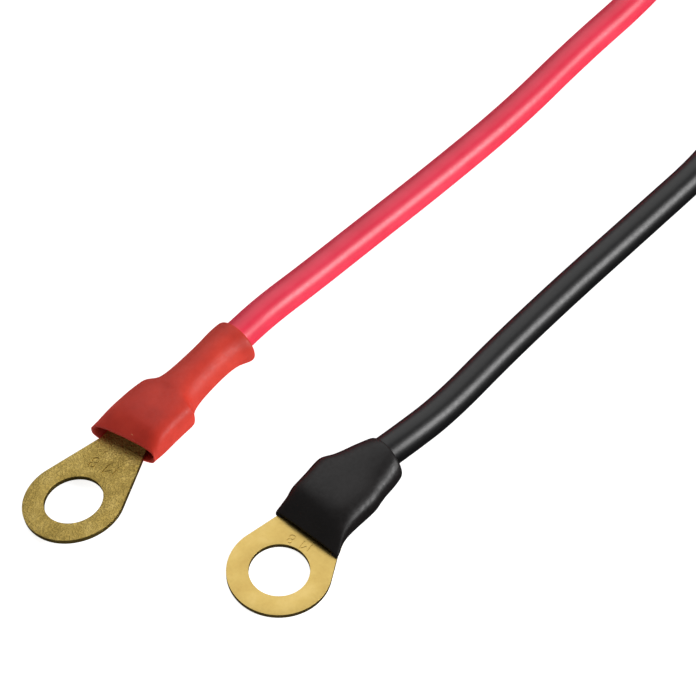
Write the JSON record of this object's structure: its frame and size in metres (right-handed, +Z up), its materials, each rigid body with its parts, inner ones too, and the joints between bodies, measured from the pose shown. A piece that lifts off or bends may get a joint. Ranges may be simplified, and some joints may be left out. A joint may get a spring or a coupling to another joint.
{
  "type": "solar cable connector",
  "caption": "Pair of solar cable leads, each with a brass ring terminal under heat-shrink at one end and a single-pole locking photovoltaic plug or socket at the other.",
  "frame": {"origin": "centre of the stud hole of the black lead's ring terminal, at the underside of the ring, on the surface that the leads lie on", "axes": "+Z up out of the stud hole, away from the surface; +Y along the leads, from the ring terminals towards the photovoltaic connectors; +X across the leads"},
  "size_m": [0.0461, 0.3259, 0.0194],
  "materials": {
    "brass_light": "stamped, lightly tarnished",
    "brass_dark": "stamped, pitted and tarnished",
    "copper": "bare stranded copper",
    "tinned_copper": "tin plated",
    "sleeve_black": "shrunk polyolefin, matte",
    "sleeve_red": "shrunk polyolefin, satin",
    "cable_black": "glossy extruded jacket",
    "cable_red": "glossy extruded jacket",
    "housing": "moulded, fine texture",
    "silicone": "soft silicone",
    "nylon": "moulded nylon"
  },
  "bodies": {
    "leads": {"black_ring_terminal": "brass_light", "black_terminal_strands": "copper", "black_heat_shrink": "sleeve_black", "black_cable": "cable_black", "black_cable_hank": "cable_black", "black_cable_tail": "cable_black", "red_ring_terminal": "brass_dark", "red_terminal_strands": "copper", "red_heat_shrink": "sleeve_red", "red_cable": "cable_red", "red_cable_hank": "cable_red", "red_cable_tail": "cable_red", "hank_tie_left": "nylon", "hank_tie_right": "nylon", "plug_housing": "housing", "plug_pin_contact": "tinned_copper", "plug_contact_strands": "copper", "plug_cable_seal": "silicone", "socket_housing": "housing", "socket_contact": "tinned_copper", "socket_contact_spring": "tinned_copper", "socket_nose_seal": "silicone", "socket_contact_strands": "copper", "socket_cable_seal": "silicone"},
    "plug_cage": {"plug_clamp_cage": "housing"},
    "plug_nut": {"plug_cap_nut": "housing"},
    "plug_arm_left": {"plug_latch_left": "housing"},
    "plug_arm_right": {"plug_latch_right": "housing"},
    "socket_cage": {"socket_clamp_cage": "housing"},
    "socket_nut": {"socket_cap_nut": "housing"}
  },
  "joints": [
    {"name": "plug_cage_slide", "type": "slide", "parent": "leads", "child": "plug_cage", "axis": [0, -1, 0], "range_m": [0, 0.004]},
    {"name": "plug_nut_turn", "type": "hinge", "parent": "plug_cage", "child": "plug_nut", "pos_m": [-0.007, 0.265, 0.0091], "axis": [0, 1, 0], "range_deg": [0, 720]},
    {"name": "plug_latch_left_press", "type": "hinge", "parent": "leads", "child": "plug_arm_left", "pos_m": [-0.01465, 0.2898, 0.0091], "axis": [0, 0, -1], "range_deg": [0, 3.3], "stiffness_Nm_per_rad": 3},
    {"name": "plug_latch_right_press", "type": "hinge", "parent": "leads", "child": "plug_arm_right", "pos_m": [0.00065, 0.2898, 0.0091], "axis": [0, 0, 1], "range_deg": [0, 3.3], "stiffness_Nm_per_rad": 3},
    {"name": "socket_cage_slide", "type": "slide", "parent": "leads", "child": "socket_cage", "axis": [0, -1, 0], "range_m": [0, 0.004]},
    {"name": "socket_nut_turn", "type": "hinge", "parent": "socket_cage", "child": "socket_nut", "pos_m": [-0.0268, 0.246, 0.0091], "axis": [0, 1, 0], "range_deg": [0, 720]}
  ],
  "couplings": [
    {"joint": "plug_nut_turn", "follows": "plug_cage_slide", "rad_per_m": 3141.6},
    {"joint": "socket_nut_turn", "follows": "socket_cage_slide", "rad_per_m": 3141.6}
  ]
}
